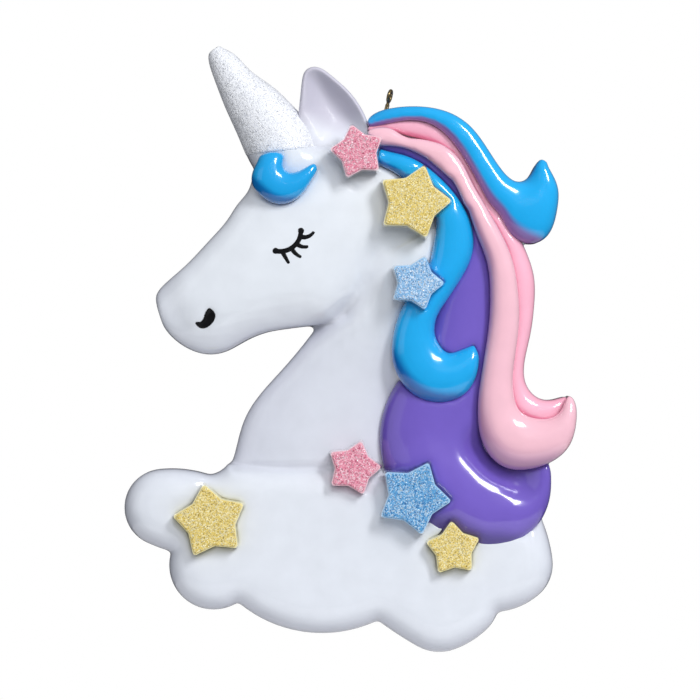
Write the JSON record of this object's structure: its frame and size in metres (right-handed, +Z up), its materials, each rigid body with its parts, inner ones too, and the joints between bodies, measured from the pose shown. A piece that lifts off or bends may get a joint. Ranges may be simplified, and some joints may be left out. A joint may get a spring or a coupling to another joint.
{
  "type": "unicorn figurine",
  "caption": "Flat-backed hanging ornament of a unicorn's head and neck rising from a cloud, with a curled mane, raised glitter stars and a small screw eye.",
  "frame": {"origin": "centre of the screw eye's ring, from which the ornament hangs", "axes": "+X to the right as seen from the front, +Z up, -Y out of the front, so +Y points into the wall behind the flat back"},
  "size_m": [0.0851, 0.0155, 0.1146],
  "materials": {
    "white_resin": "glossy painted",
    "cyan_paint": "glossy painted",
    "purple_paint": "glossy painted",
    "light_pink_paint": "glossy painted",
    "mid_pink_paint": "glossy painted",
    "white_glitter": "coarse glitter",
    "pink_glitter": "coarse glitter",
    "yellow_glitter": "coarse glitter",
    "blue_glitter": "coarse glitter",
    "black_paint": "glossy painted",
    "eye_brass": "antique"
  },
  "bodies": {
    "casting": {"cloud": "white_resin", "neck": "white_resin", "head": "white_resin", "ear": "white_resin", "horn": "white_glitter", "forelock": "cyan_paint", "mane_purple": "purple_paint", "lock_blue_inner": "cyan_paint", "lock_pink_inner": "light_pink_paint", "lock_pink_outer": "mid_pink_paint", "lock_blue_outer": "cyan_paint", "star_pink_upper": "pink_glitter", "star_yellow_upper": "yellow_glitter", "star_blue_middle": "blue_glitter", "star_pink_lower": "pink_glitter", "star_yellow_left": "yellow_glitter", "star_blue_lower": "blue_glitter", "star_yellow_lower": "yellow_glitter", "eyelashes": "black_paint", "nostril": "black_paint"},
    "eye": {"screw_eye": "eye_brass"}
  },
  "joints": [
    {"name": "screw_eye_turn", "type": "hinge", "parent": "casting", "child": "eye", "pos_m": [0, 0, 0], "axis": [0.2413, 0, 0.9705], "range_deg": [-90, 90]}
  ]
}
